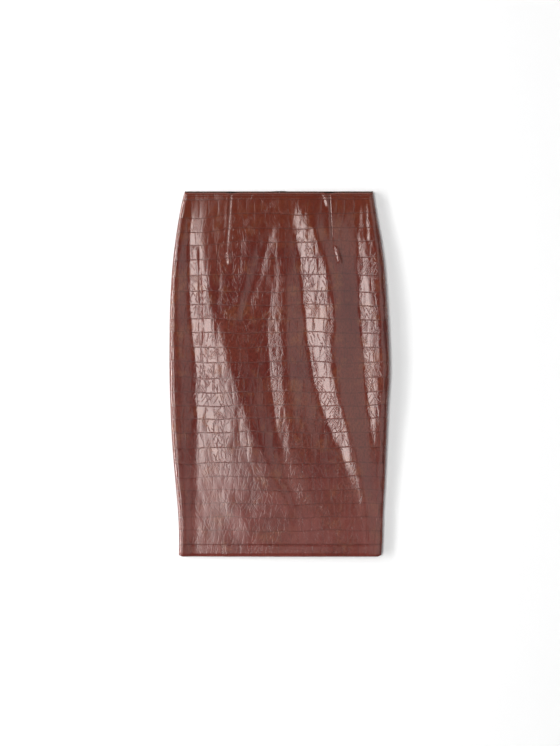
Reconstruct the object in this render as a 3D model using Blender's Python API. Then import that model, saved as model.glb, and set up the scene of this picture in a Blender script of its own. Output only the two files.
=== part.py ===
"""A fitted midi skirt of shiny embossed sheet, laid flat on a table with its back downwards.

The waist points to +Y, the front faces +Z, and the underside of the back lies on Z = 0.
"Left" and "right" are as seen from above, so left is at -X.
The front is a wall over a table of fold lines; its sides roll down to the side seams.
The two back panels lie flat and curl up to the same seams. They part a little along the
concealed zip, and again along the walking slit below it.
"""
import math

import bpy
import numpy as np

MM = 0.001

# Whole skirt, in millimetres, until the meshes are written
LENGTH = 732.0            # back waist edge to hem
FRONT_DROP = 3.0          # the front's waist edge lies this far below the back's
WALL = 1.4                # coated cloth with its backing
WAIST_TURN = 7.0          # depth of the turned waist edge
WAIST_WALL = 2.3          # two layers, pressed
HEM_TURN = 23.5           # depth of the turned-up hem
HEM_WALL = 2.6            # two layers, pressed
SEAM_GAP = 0.3            # between pieces that are sewn together
SEAM_HEIGHT = 6.0         # the side seams lie at this height
EDGE_ROUND = 0.7          # how far a folded edge rounds off, above
STITCH_DIP = 0.45         # how deep the stitching pulls the cloth in
STITCH_HALF = 1.2         # half the width of that furrow
FACE_STEP = 1.5           # the folded edges' rounding runs this far in
FRONT_ROWS = 35           # rows of points between the two stitch lines
HEM_ROW = 12.0            # one more row, this far above the hem
CORNER_REACH = 9.0        # the hem's corners round off over this width
CORNER_DEPTH = 10.0       # over this depth
CORNER_RISE = 2.6         # and by this much at the seam

# Half widths of the laid skirt on each side of X = 0
OUTLINE = (
    # down, left, right
    (0.0, 190.0, 187.0),
    (20.0, 195.0, 189.6),
    (60.0, 202.8, 196.2),
    (100.0, 208.9, 203.4),
    (150.0, 214.8, 210.0),
    (220.0, 219.1, 215.1),
    (300.0, 220.7, 219.2),
    (360.0, 220.8, 220.8),
    (430.0, 219.0, 217.2),
    (500.0, 215.7, 214.3),
    (580.0, 209.0, 211.0),
    (655.0, 202.8, 207.1),
    (700.0, 201.4, 206.0),
    (732.0, 202.0, 204.2),
)

# The front's folds: where each line runs, and how high the cloth lies on it
STATIONS = (0.0, 28.0, 60.0, 140.0, 235.0, 330.0, 425.0, 520.0, 620.0, 732.0)
FOLD_PLACES = (
    # name, then X at each station down the skirt
    ("left_valley", -170.0, -174.0, -176.0, -179.0, -179.0, -170.0, -167.0, -167.0, -168.0, -176.0),
    ("left_ridge", -136.0, -146.0, -152.0, -151.0, -132.0, -105.0, -74.0, -36.0, 8.0, 30.0),
    ("middle_valley", -22.0, -22.0, -22.0, -21.0, -20.0, -19.0, -11.0, 2.0, 30.0, 46.0),
    ("middle_ridge", 3.0, 5.0, 6.0, 8.0, 8.0, 10.0, 18.0, 26.0, 50.0, 62.0),
    ("apex_valley", 20.0, 22.0, 27.0, 42.0, 52.0, 61.0, 82.0, 120.0, 148.0, 150.0),
    ("right_ridge", 50.0, 56.0, 62.0, 90.0, 107.0, 107.0, 122.0, 148.0, 164.0, 168.0),
    ("right_valley", 150.0, 153.0, 156.0, 158.0, 160.0, 168.0, 176.0, 180.0, 182.0, 182.0),
)
FOLD_HEIGHTS = (
    # name, then the height of the cloth's face at each station
    ("left_valley", 11.6, 11.5, 11.0, 10.8, 10.8, 10.8, 10.9, 10.9, 10.4, 9.6),
    ("left_ridge", 12.0, 12.0, 13.0, 14.8, 17.0, 19.2, 20.6, 20.4, 17.4, 13.8),
    ("middle_valley", 12.1, 12.2, 12.3, 12.6, 13.4, 14.4, 15.8, 17.0, 16.2, 13.4),
    ("middle_ridge", 12.3, 12.4, 12.6, 13.2, 15.4, 16.9, 18.3, 18.4, 16.6, 13.6),
    ("apex_valley", 12.0, 11.8, 11.4, 11.0, 11.3, 11.8, 12.8, 14.2, 14.0, 12.4),
    ("right_ridge", 12.5, 13.2, 15.8, 19.0, 20.8, 21.0, 20.8, 18.6, 15.2, 12.7),
    ("right_valley", 11.6, 11.4, 11.1, 11.0, 11.2, 11.8, 12.8, 14.6, 13.6, 12.0),
)
LEFT_FLANK = 1.45         # 1 is a straight flank with a sharp ridge, 2 a round one
SIDE_ROLLS = (
    # down, left width, left height, right width, right height
    (0.0, 8.0, 12.0, 10.0, 12.0),
    (28.0, 8.0, 12.4, 11.0, 12.5),
    (140.0, 8.0, 14.2, 15.0, 16.2),
    (330.0, 9.0, 15.4, 16.0, 18.4),
    (430.0, 9.0, 15.2, 15.0, 17.4),
    (520.0, 9.0, 14.6, 15.0, 14.8),
    (732.0, 9.0, 12.0, 14.0, 12.0),
)

# Waist darts of the front: top and tip of each sewn line
DARTS = (
    # name, X at the waist, X at the tip, down to the tip
    ("left_dart", -96.0, -106.0, 132.0),
    ("right_dart", 100.0, 107.0, 120.0),
)
DART_DIP = 0.8
DART_HALF = 3.0
DART_FADE = 0.6           # share of its length over which a dart runs out
DART_COLUMNS = (7, 15, 7) # columns of points left of, between and right of the darts

# Back panels
BACK_CURL = 7.0           # width of the margin that curls up to the side seam
BACK_LIFT = 1.0           # the back's hem lies this far above the front's
BACK_ROWS = 14            # rows of points between the slit's upper end and the hem's stitching
ZIP_LENGTH = 200.0
ZIP_RUN_OUT = 12.0        # over this length the panels close up below the zip
ZIP_HALF_GAP = 0.8        # each panel's edge stands this far from the centre along the zip
SLIT_LENGTH = 180.0
SLIT_HALF_GAP = 1.5       # at the hem

# Concealed zip, lying on the back panels' inner face
TAPE_WIDTH = 11.0
TAPE_WALL = 0.6
TAPE_TOP = 10.8           # down from the waist edge
PIVOT_DOWN = 14.0         # the pull tab's hinge, down from the waist edge
PIVOT_HEIGHT = 1.3
LUG_RADIUS = 1.1
EYE_RADIUS = 0.5
NECK_HALF = 0.5
SLIDER_WIDTH = 7.0
SLIDER_WALL = 2.1
SLIDER_AHEAD = 3.0        # how far the slider reaches past its hinge, towards the waist
SLIDER_ROUND = 0.35
SLIDER_OUTLINE = (
    # share of the half width, distance behind its front end
    (0.55, 0.0),
    (1.0, 2.2),
    (0.8, 8.8),
    (0.6, 10.0),
)
NECK_SUNK = 0.8           # how far the neck reaches into the slider
PIN_RADIUS = 0.3
CHEEK_GAP = 0.2           # between the pull tab's cheeks and the lug
CHEEK_WIDTH = 0.8
TAB_LENGTH = 19.0
TAB_WIDTH = 5.2
TAB_WALL = 0.8
TAB_TIP_HEIGHT = 0.55     # the tab's middle plane at its far end
TAB_SHOULDER = 2.0        # where the two cheeks meet
TAB_ROUND = 0.75          # share of the tab's length at which its round end starts
CHEEK_SUNK = 0.6          # how far the cheeks reach into the tab
PIN_SUNK = 0.4            # how far the pin reaches into each cheek

# The hollow that the pull tab lifts in the laid back
HOLLOW_HEIGHT = 2.3
HOLLOW_HALF = 4.6         # level part, each side of the centre
HOLLOW_REACH = 20.0       # where it has run out sideways
HOLLOW_DOWN = (2.0, 9.0, 36.0, 54.0)   # starts, level from, level to, has run out
HOLLOW_ROWS = (2.0, 5.0, 7.8, 9.4, 12.0, 16.0, 22.0, 29.0, 36.0, 42.0, 48.0, 54.0)
HOLLOW_COLUMNS = (4.6, 8.0, 12.0, 16.0, 20.0)
FAR_SHARES = (0.2, 0.4, 0.6, 0.8, 0.94)   # columns between the hollow and the curled margin
ZIP_ROWS = (88.0, 122.0, 156.0, 190.0)    # rows of points below the hollow, along the zip


def along(table, column, down):
    """A smooth curve through one column of a table, read at distances down the skirt."""
    stations = np.array([row[0] for row in table])
    values = np.array([row[column] for row in table])
    slopes = np.gradient(values, stations)
    down = np.clip(down, stations[0], stations[-1])
    step = np.clip(np.searchsorted(stations, down, side="right") - 1, 0, len(stations) - 2)
    span = stations[step + 1] - stations[step]
    t = (down - stations[step]) / span
    rise = values[step + 1] - values[step]
    return (values[step] + rise * t * t * (3 - 2 * t)
            + span * slopes[step] * t * (1 - t) ** 2
            - span * slopes[step + 1] * t * t * (1 - t))


def fold_line(table, name, down):
    """Place or height of one named fold line at distances down the skirt."""
    row = next(entry for entry in table if entry[0] == name)
    return along(tuple(zip(STATIONS, row[1:])), 1, down)


def smooth(t):
    """0 below 0, 1 above 1, with a soft start and end."""
    t = np.clip(t, 0.0, 1.0)
    return t * t * (3 - 2 * t)


def valley_to_ridge(t, faces_left):
    """0 at a valley, 1 at a ridge: a flank that faces left is steep, the other an even S."""
    if faces_left:
        return 1 - (1 - t) ** LEFT_FLANK
    return 0.5 * (t + smooth(t))


def cloth_height(x, down):
    """Height of the front's face between the side rolls, at arrays of X and of down."""
    left = along(OUTLINE, 1, down)
    right = along(OUTLINE, 2, down)
    places = [along(SIDE_ROLLS, 1, down) - left]
    heights = [along(SIDE_ROLLS, 2, down)]
    for name, *_ in FOLD_PLACES:
        places.append(fold_line(FOLD_PLACES, name, down))
        heights.append(fold_line(FOLD_HEIGHTS, name, down))
    places.append(right - along(SIDE_ROLLS, 3, down))
    heights.append(along(SIDE_ROLLS, 4, down))
    height = np.where(x < places[0], heights[0], heights[-1])
    for k in range(len(places) - 1):
        t = np.clip((x - places[k]) / (places[k + 1] - places[k]), 0.0, 1.0)
        valley_first = k % 2 == 1
        rise = valley_to_ridge(t, True) if valley_first else 1 - valley_to_ridge(1 - t, False)
        between = heights[k] + (heights[k + 1] - heights[k]) * rise
        height = np.where((x >= places[k]) & (x <= places[k + 1]), between, height)
    return height


def stitch_dip(down, line):
    """How far a row of stitching pulls the cloth in."""
    return STITCH_DIP * np.clip(1 - np.abs(down - line) / STITCH_HALF, 0.0, 1.0)


def front_rows():
    """Distances down the skirt at which the front has a row of points."""
    top = FRONT_DROP
    waist_line = top + WAIST_TURN
    hem_line = LENGTH - HEM_TURN
    first = [top, top + FACE_STEP, waist_line - STITCH_HALF, waist_line, waist_line + STITCH_HALF]
    last = [hem_line - STITCH_HALF, hem_line, hem_line + STITCH_HALF, LENGTH - HEM_ROW,
            LENGTH - FACE_STEP, LENGTH]
    middle = np.linspace(first[-1], last[0], FRONT_ROWS)[1:-1]
    return np.array(first + list(middle) + last)


def wall_depth(down, top, far_from_side):
    """Thickness of a panel: one layer, and two where an edge is turned in."""
    waist = WAIST_WALL + (WALL - WAIST_WALL) * smooth((down - top - WAIST_TURN) / STITCH_HALF)
    hem = WALL + (HEM_WALL - WALL) * smooth((down - LENGTH + HEM_TURN) / STITCH_HALF + 1)
    turned = np.maximum(waist, hem)
    turned = turned - EDGE_ROUND * ((down <= top) | (down >= LENGTH))
    return WALL + (turned - WALL) * np.where(turned > WALL, far_from_side, 1.0)


def corner_rise(from_side, from_hem):
    """How far the hem's corners are drawn up towards the seams."""
    near_seam = smooth(1 - from_side / CORNER_REACH)
    return CORNER_RISE * near_seam * np.clip(1 - from_hem / CORNER_DEPTH, 0, 1)


def inner_points(outer_x, outer_z, depth):
    """The wall's other face: each section's points moved along its own normals."""
    run = np.gradient(outer_x, axis=1)
    rise = np.gradient(outer_z, axis=1)
    size = np.hypot(run, rise)
    return outer_x + depth * rise / size, outer_z - depth * run / size


def front_panel():
    """One piece from side seam to side seam, with two waist darts."""
    rows = front_rows()
    down = rows[:, None]
    left = -along(OUTLINE, 1, down)
    right = along(OUTLINE, 2, down)
    left_roll = along(SIDE_ROLLS, 1, down)
    right_roll = along(SIDE_ROLLS, 3, down)
    start = left + left_roll
    end = right - right_roll
    dart_x = []
    for _, at_waist, at_tip, tip in DARTS:
        sewn = at_waist + (at_tip - at_waist) * np.minimum(down, tip) / tip
        spread = np.where(down > tip, along(OUTLINE, 2, down) / along(OUTLINE, 2, tip), 1.0)
        dart_x.append(sewn * spread)
    turn = np.linspace(0, math.pi / 2, 6)
    stops = [(start, dart_x[0] - DART_HALF, DART_COLUMNS[0]),
             (dart_x[0] - DART_HALF, dart_x[0], 1),
             (dart_x[0], dart_x[0] + DART_HALF, 1),
             (dart_x[0] + DART_HALF, dart_x[1] - DART_HALF, DART_COLUMNS[1]),
             (dart_x[1] - DART_HALF, dart_x[1], 1),
             (dart_x[1], dart_x[1] + DART_HALF, 1),
             (dart_x[1] + DART_HALF, end, DART_COLUMNS[2])]
    columns = [left + left_roll * (1 - np.cos(turn))[None, :-1]]
    for first, last, count in stops:
        t = np.linspace(0, 1, count + 1)[None, :-1]
        columns.append(first + (last - first) * t)
    columns.append(right - right_roll * (1 - np.cos(turn[::-1]))[None, :])
    x = np.concatenate(columns, axis=1)
    down = np.broadcast_to(down, x.shape).copy()
    height = cloth_height(x, down)
    for (_, _, _, tip), line in zip(DARTS, dart_x):
        nearness = np.clip(1 - np.abs(x - line) / DART_HALF, 0, 1)
        height -= DART_DIP * nearness * np.clip((tip - down) / (DART_FADE * tip), 0, 1)
    height -= stitch_dip(down, FRONT_DROP + WAIST_TURN)
    height -= stitch_dip(down, LENGTH - HEM_TURN)
    height -= EDGE_ROUND * ((down <= rows[0]) | (down >= rows[-1]))
    from_side = np.minimum(x - left, right - x)
    roll = np.where(x < 0, left_roll, right_roll)
    arch = np.sqrt(1 - np.clip(1 - from_side / roll, 0, 1) ** 2)
    foot = SEAM_HEIGHT + SEAM_GAP / 2
    z = foot + (height - foot) * arch
    far_from_side = smooth(from_side / roll)
    inner_x, inner_z = inner_points(x, z, wall_depth(down, FRONT_DROP, far_from_side))
    inner_x[:, 0] = x[:, 0] + WALL
    inner_x[:, -1] = x[:, -1] - WALL
    inner_z[:, 0] = foot
    inner_z[:, -1] = foot
    down = down - corner_rise(from_side, LENGTH - down)
    return wall_object("front_panel", (x, down, z), (inner_x, down, inner_z), "front_sheet")


def hollow(x, down):
    """How far the laid back is lifted over the pull tab."""
    across = 1 - smooth((np.abs(x) - HOLLOW_HALF) / (HOLLOW_REACH - HOLLOW_HALF))
    starts, level_from, level_to, runs_out = HOLLOW_DOWN
    lengthwise = smooth((down - starts) / (level_from - starts))
    lengthwise = lengthwise * (1 - smooth((down - level_to) / (runs_out - level_to)))
    return HOLLOW_HEIGHT * across * lengthwise


def centre_gap(down):
    """Half the distance between the back panels' edges."""
    half_seam = SEAM_GAP / 2
    beside_zip = smooth((ZIP_LENGTH + ZIP_RUN_OUT - down) / ZIP_RUN_OUT)
    slit = np.clip((down - LENGTH + SLIT_LENGTH) / SLIT_LENGTH, 0, 1)
    return half_seam + (ZIP_HALF_GAP - half_seam) * beside_zip + (SLIT_HALF_GAP - half_seam) * slit


def back_panel(name, side):
    """One half of the back. side is -1 for the left panel and 1 for the right one."""
    zip_end = ZIP_LENGTH + ZIP_RUN_OUT
    upper = [0.0, *HOLLOW_ROWS, *ZIP_ROWS, ZIP_LENGTH, zip_end]
    lower = list(np.linspace(zip_end, LENGTH - HEM_TURN - STITCH_HALF, BACK_ROWS)[1:])
    bottom = LENGTH - BACK_LIFT
    hem = [LENGTH - HEM_TURN, LENGTH - HEM_ROW, bottom - FACE_STEP, bottom]
    rows = np.array(upper + lower + hem)
    down = rows[:, None]
    edge = along(OUTLINE, 1 if side < 0 else 2, down)
    inner = centre_gap(down)
    start = edge - BACK_CURL
    level = [np.full_like(edge, value) for value in HOLLOW_COLUMNS]
    far = [HOLLOW_REACH + (start - HOLLOW_REACH) * part for part in FAR_SHARES]
    turn = np.linspace(0, math.pi / 2, 5)
    curl = edge - BACK_CURL * (1 - np.cos(turn[::-1]))[None, :]
    across = np.concatenate([inner] + level + far + [curl], axis=1)
    down = np.broadcast_to(down, across.shape).copy()
    from_side = edge - across
    foot = SEAM_HEIGHT - SEAM_GAP / 2
    bend = np.sqrt(1 - np.clip(1 - from_side / BACK_CURL, 0, 1) ** 2)
    under = foot * (1 - bend) + hollow(across, down)
    depth = wall_depth(down, 0.0, smooth(from_side / BACK_CURL - 1))
    top_x, top_z = inner_points(across, under, -depth)
    top_x[:, 0] = across[:, 0]
    top_z[:, 0] = under[:, 0] + depth[:, 0]
    top_x[:, -1] = across[:, -1] - WALL
    top_z[:, -1] = foot
    down = down - corner_rise(from_side, bottom - down)
    return wall_object(name, (side * top_x, down, top_z), (side * across, down, under),
                       "back_sheet", flip=side < 0)


def zip_tape(name, side):
    """A woven tape on the back panel's inner face, from the panel's own points moved up."""
    beside_hollow = [value for value in HOLLOW_ROWS if value > TAPE_TOP]
    rows = np.array([TAPE_TOP, *beside_hollow, *ZIP_ROWS, TAPE_TOP + ZIP_LENGTH])
    across = np.array([ZIP_HALF_GAP, *HOLLOW_COLUMNS[:2], ZIP_HALF_GAP + TAPE_WIDTH])[None, :]
    across = np.broadcast_to(across, (len(rows), across.shape[1])).copy()
    down = np.broadcast_to(rows[:, None], across.shape).copy()
    low = hollow(across, down) + WALL + SEAM_GAP
    return wall_object(name, (side * across, down, low + TAPE_WALL), (side * across, down, low),
                       "zip_tape", flip=side < 0)


def wall_object(name, outer, inner, material, flip=False):
    """A closed wall between two grids of points: two faces and the rim round them."""
    rows, columns = outer[0].shape
    points = []
    for x, down, z in (outer, inner):
        points.append(np.stack([x, LENGTH / 2 - down, z], axis=-1).reshape(-1, 3))
    vertices = np.concatenate(points) * MM
    faces = []
    index = np.arange(rows * columns).reshape(rows, columns)
    for i in range(rows - 1):
        for j in range(columns - 1):
            a, b, c, d = index[i, j], index[i + 1, j], index[i + 1, j + 1], index[i, j + 1]
            faces.append((a, b, c, d))
            faces.append(tuple(corner + rows * columns for corner in (a, d, c, b)))
    rim = list(index[0, :]) + list(index[1:, -1]) + list(index[-1, -2::-1]) + list(index[-2:0:-1, 0])
    for a, b in zip(rim, rim[1:] + rim[:1]):
        faces.append((a, b, b + rows * columns, a + rows * columns))
    if flip:
        faces = [face[::-1] for face in faces]
    return mesh_object(name, vertices.tolist(), faces, material)


def mesh_object(name, vertices, faces, material):
    mesh = bpy.data.meshes.new(name)
    mesh.from_pydata(vertices, [], [tuple(int(i) for i in face) for face in faces])
    mesh.update()
    mesh.materials.append(bpy.data.materials[material])
    mesh.shade_smooth()
    mesh.set_sharp_from_angle(angle=math.radians(40))
    item = bpy.data.objects.new(name, mesh)
    bpy.context.collection.objects.link(item)
    return item


def extruded(name, outline, low, high, axis, material):
    """A prism of an outline in the two other axes, from low to high along X or Z."""
    count = len(outline)
    vertices = []
    for level in (low, high):
        for a, b in outline:
            place = (level, a, b) if axis == "x" else (a, b, level)
            vertices.append(tuple(value * MM for value in place))
    faces = [tuple(range(count))[::-1], tuple(range(count, 2 * count))]
    for k in range(count):
        n = (k + 1) % count
        faces.append((k, n, n + count, k + count))
    return mesh_object(name, vertices, faces, material)


def circle(centre, radius, count=20):
    turn = np.arange(count) * 2 * math.pi / count
    return [(centre[0] + radius * math.cos(a), centre[1] + radius * math.sin(a)) for a in turn]


def join(target, other, operation):
    """Adds a Boolean that keeps its second shape as a hidden guide."""
    other.hide_render = True
    other.display_type = "WIRE"
    step = target.modifiers.new(other.name, "BOOLEAN")
    step.operation = operation
    step.solver = "EXACT"
    step.object = other


def pivot():
    """Y and Z of the pull tab's hinge, in millimetres."""
    return LENGTH / 2 - PIVOT_DOWN, PIVOT_HEIGHT


def zip_slider():
    """The slider inside the skirt, with the lug that reaches out between the panels."""
    y, z = pivot()
    low = HOLLOW_HEIGHT + WALL + SEAM_GAP + TAPE_WALL + SEAM_GAP
    front = y + SLIDER_AHEAD
    half = SLIDER_WIDTH / 2
    outline = [(-half * share, front - behind) for share, behind in SLIDER_OUTLINE]
    outline = outline + [(-a, b) for a, b in outline[::-1]]
    body = extruded("zip_slider", outline, low, low + SLIDER_WALL, "z", "zip_metal")
    bevel = body.modifiers.new("rounded", "BEVEL")
    bevel.width = SLIDER_ROUND * MM
    bevel.segments = 2
    bevel.limit_method = "ANGLE"
    neck_outline = [(y - LUG_RADIUS, z), (y + LUG_RADIUS, z), (y + LUG_RADIUS, low + NECK_SUNK),
                    (y - LUG_RADIUS, low + NECK_SUNK)]
    neck = extruded("slider_neck", neck_outline, -NECK_HALF, NECK_HALF, "x", "zip_metal")
    lug = extruded("slider_lug", circle((y, z), LUG_RADIUS), -NECK_HALF, NECK_HALF, "x",
                   "zip_metal")
    eye = extruded("slider_eye", circle((y, z), EYE_RADIUS), -SLIDER_WALL, SLIDER_WALL, "x",
                   "zip_metal")
    join(body, neck, "UNION")
    join(body, lug, "UNION")
    join(body, eye, "DIFFERENCE")
    return body


def zip_pull_tab():
    """A slim drop-shaped tab whose pin turns in the slider's eye."""
    y, z = pivot()
    inside = NECK_HALF + CHEEK_GAP
    outside = inside + CHEEK_WIDTH
    outline = []
    for part in np.linspace(0, 1, 13):
        half = outside + (TAB_WIDTH / 2 - outside) * smooth(part / TAB_ROUND)
        if part > TAB_ROUND:
            half = TAB_WIDTH / 2 * math.sqrt(1 - ((part - TAB_ROUND) / (1 - TAB_ROUND)) ** 2)
        outline.append((half, -part * (TAB_LENGTH - TAB_SHOULDER) - TAB_SHOULDER))
    outline = (outline + [(-a, b) for a, b in outline[-2::-1]])[::-1]
    tab = extruded("zip_pull_tab", outline, -TAB_WALL / 2, TAB_WALL / 2, "z", "zip_metal")
    for name, low in (("cheek_right", inside), ("cheek_left", -outside)):
        shape = [(-TAB_SHOULDER - CHEEK_SUNK, -TAB_WALL / 2), (0.0, -TAB_WALL / 2)]
        turn = np.linspace(-math.pi / 2, math.pi / 2, 9)[1:-1]
        shape += [(TAB_WALL / 2 * math.cos(a), TAB_WALL / 2 * math.sin(a)) for a in turn]
        shape += [(0.0, TAB_WALL / 2), (-TAB_SHOULDER - CHEEK_SUNK, TAB_WALL / 2)]
        cheek = extruded(name, shape, low, low + CHEEK_WIDTH, "x", "zip_metal")
        join(tab, cheek, "UNION")
        cheek.parent = tab
    reach = inside + PIN_SUNK
    pin = extruded("tab_pin", circle((0.0, 0.0), PIN_RADIUS, 12), -reach, reach, "x", "zip_metal")
    join(tab, pin, "UNION")
    pin.parent = tab
    tab.location = (0.0, y * MM, z * MM)
    tab.rotation_euler = (math.asin((z - TAB_TIP_HEIGHT) / TAB_LENGTH), 0.0, 0.0)
    return tab


def make_material(name, colour, roughness, metallic):
    material = bpy.data.materials.new(name)
    material.use_nodes = True
    surface = material.node_tree.nodes["Principled BSDF"]
    surface.inputs["Base Color"].default_value = (*colour, 1.0)
    surface.inputs["Roughness"].default_value = roughness
    surface.inputs["Metallic"].default_value = metallic
    material.diffuse_color = (*colour, 1.0)


def main():
    for item in list(bpy.data.objects):
        bpy.data.objects.remove(item, do_unlink=True)
    make_material("front_sheet", (0.15, 0.045, 0.028), 0.3, 0.0)
    make_material("back_sheet", (0.12, 0.036, 0.023), 0.35, 0.0)
    make_material("zip_tape", (0.06, 0.02, 0.015), 0.9, 0.0)
    make_material("zip_metal", (0.25, 0.13, 0.08), 0.35, 0.9)
    front_panel()
    for name, side in (("left", -1), ("right", 1)):
        back_panel("back_panel_" + name, side)
        zip_tape("zip_tape_" + name, side)
    zip_slider()
    zip_pull_tab()


main()
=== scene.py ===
# A fitted midi skirt of glossy scale-embossed sheet, laid flat with its back downwards.
# The cloth is worked out in millimetres: x to the right, down from the waist edge, z up.
import math

import bpy
import numpy as np
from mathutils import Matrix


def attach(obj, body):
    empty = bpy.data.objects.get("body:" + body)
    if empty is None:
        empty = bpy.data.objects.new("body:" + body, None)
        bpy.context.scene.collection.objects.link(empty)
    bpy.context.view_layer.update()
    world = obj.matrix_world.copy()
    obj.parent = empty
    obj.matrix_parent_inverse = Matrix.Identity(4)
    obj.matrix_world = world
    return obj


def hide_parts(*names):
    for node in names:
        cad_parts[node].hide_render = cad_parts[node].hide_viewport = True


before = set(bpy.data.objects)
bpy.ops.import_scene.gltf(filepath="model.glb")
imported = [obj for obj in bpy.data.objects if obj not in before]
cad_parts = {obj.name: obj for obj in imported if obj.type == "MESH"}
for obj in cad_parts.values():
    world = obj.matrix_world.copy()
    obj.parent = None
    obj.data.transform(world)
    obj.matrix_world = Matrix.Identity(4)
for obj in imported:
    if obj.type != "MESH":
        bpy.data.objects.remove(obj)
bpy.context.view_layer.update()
print("frame loaded:", len(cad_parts), "nodes")

mm = 0.001
skirt = {
    "length": 732.0,          # back waist edge to hem
    "frontDrop": 3.0,         # the front's waist edge lies this far below the back's
    "wall": 1.4,
    "waistTurn": 7.0,
    "waistWall": 2.3,
    "hemTurn": 23.5,
    "hemWall": 2.6,
    "seamGap": 0.3,
    "seamHeight": 6.0,        # the side seams lie at this height
    "waistRoll": 2.0,         # how far the waist edge rolls down, and over what length
    "waistRollReach": 5.5,
    "hemRoll": 1.4,           # the same at the hem
    "hemRollReach": 5.0,
    "waistDip": 1.5,          # how far the darts pull the waist edge down the skirt
    "waistDipHalf": 9.0,
    "waistDipReach": 14.0,
    "cornerRise": 2.6,        # how far the hem rises at its corners, and over what width and length
    "cornerWidth": 9.0,
    "cornerReach": 10.0,
    "furrowDepth": 0.4,       # under a row of stitching
    "furrowHalf": 1.0,
    "turnBlend": 1.5,         # length over which two layers run out into one
    "leftFlank": 1.45,        # 1 is a straight flank with a sharp ridge, 2 a round one
    "foldRound": 8.0,         # how far to each side of a fold line the cloth rounds off
    "edgeTuck": 0.3,          # share of an edge's half round that its inner face reaches
}

# half widths of the laid skirt
outline = {
    "down": [0, 20, 60, 100, 150, 220, 300, 360, 430, 500, 580, 655, 700, 732],
    "left": [190, 195, 202.8, 208.9, 214.8, 219.1, 220.7, 220.8, 219, 215.7, 209, 202.8, 201.4, 202],
    "right": [187, 189.6, 196.2, 203.4, 210, 215.1, 219.2, 220.8, 217.2, 214.3, 211, 207.1, 206, 204.2],
}

# the front's fold lines, valley and ridge in turn: x and height at each distance down
folds = {
    "down": [0, 28, 60, 140, 235, 330, 425, 520, 620, 732],
    "leftValley": ([-170, -174, -176, -179, -178, -168, -166, -167, -168, -176],
                   [11.6, 11.5, 11.0, 10.8, 10.8, 10.8, 10.9, 10.9, 10.4, 9.6]),
    "leftRidge": ([-136, -146, -152, -151, -132, -105, -74, -36, 8, 30],
                  [12.0, 12.0, 13.0, 14.8, 17.0, 19.2, 20.6, 20.4, 17.4, 13.8]),
    "middleValley": ([-22, -22, -22, -21, -20, -19, -11, 2, 30, 46],
                     [12.1, 12.2, 12.3, 12.6, 13.4, 14.4, 15.8, 17.0, 16.2, 13.4]),
    "middleRidge": ([3, 5, 6, 8, 8, 10, 18, 26, 50, 62],
                    [12.3, 12.4, 12.6, 13.2, 15.4, 16.9, 18.3, 18.4, 16.6, 13.6]),
    "apexValley": ([20, 22, 27, 42, 52, 61, 82, 122, 157, 168],
                   [12.0, 11.8, 11.4, 11.0, 11.3, 11.8, 12.8, 14.2, 14.0, 12.4]),
    "rightRidge": ([50, 56, 63, 92, 109, 109, 123, 149, 170, 180],
                   [12.5, 13.2, 15.8, 19.0, 20.8, 21.0, 20.8, 18.6, 15.2, 12.7]),
    "rightValley": ([150, 153, 156, 158, 160, 168, 176, 181, 186, 188],
                    [11.6, 11.4, 11.1, 11.0, 11.2, 11.8, 12.8, 14.6, 13.6, 12.0]),
}

sideRolls = {
    "down": [0, 28, 140, 330, 430, 520, 732],
    "leftWidth": [8, 8, 9, 10, 10, 10, 9],
    "leftHeight": [12.0, 12.5, 15.0, 16.4, 16.3, 15.4, 12.3],
    "rightWidth": [10, 11, 15, 16, 15, 15, 14],
    "rightHeight": [12.0, 12.5, 16.2, 18.4, 17.4, 14.8, 12.0],
}

# smaller creases, each from one point to another: x, down, x, down, half width, height
creases = [
    (-9, 49, -79, 279, 13.0, -1.1),     # slanting hollow from the waist's middle
    (-52, 70, -98, 300, 12.0, 0.7),
    (-160, 95, -157, 285, 3.6, -0.75),  # parts the left ridge's flank in two
    (172, 12, 176, 118, 3.0, -0.4),
    (33, 58, 80, 82, 4.0, 0.35),        # short pulls by the apex
    (30, 70, 66, 96, 3.5, -0.3),
    (-118, 150, -128, 250, 6.0, -0.5),
    (-163, 230, -141, 420, 5.0, -0.6),  # and again further down
    (-128, 330, -104, 470, 7.0, 0.3),
    (-150, 430, -120, 600, 9.0, -0.3),
    (-90, 430, -60, 560, 9.0, -0.3),
    (64, 150, 84, 290, 4.5, -0.2),
    (86, 250, 92, 380, 5.0, 0.25),
    (170, 150, 176, 300, 3.5, -0.35),
    (70, 300, 92, 430, 6.0, -0.2),
    (-20, 560, 60, 640, 16.0, -0.7),
    (-120, 600, -40, 700, 18.0, 0.5),
    (112, 108, 123, 150, 3.2, 2.0),     # puckers at the darts' tips
    (-103, 121, -100, 149, 2.6, 1.3),
    (88, 1, 99, 34, 3.2, 1.3),          # and at the waist, beside the right dart
    (115, 140, 117, 186, 2.6, 0.3),
]

# the back's creases, in the same columns; all are lifted off the table
backCreases = [
    (-40, 70, -96, 250, 9.0, 0.8),
    (-30, 190, -58, 300, 6.0, 0.5),
    (-150, 60, -140, 230, 8.0, 0.7),
    (-176, 250, -120, 470, 12.0, 0.9),
    (-60, 330, -92, 560, 11.0, 0.7),
    (-30, 430, -40, 520, 7.0, 0.4),
    (-130, 560, -60, 660, 14.0, 0.6),
    (46, 90, 88, 230, 8.0, 0.7),
    (30, 240, 66, 430, 10.0, 0.8),
    (140, 50, 150, 190, 7.0, 0.6),
    (120, 210, 168, 400, 12.0, 0.9),
    (98, 380, 116, 520, 8.0, 0.5),
    (40, 520, 130, 650, 15.0, 0.7),
    (176, 430, 170, 580, 7.0, 0.5),
]

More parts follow.
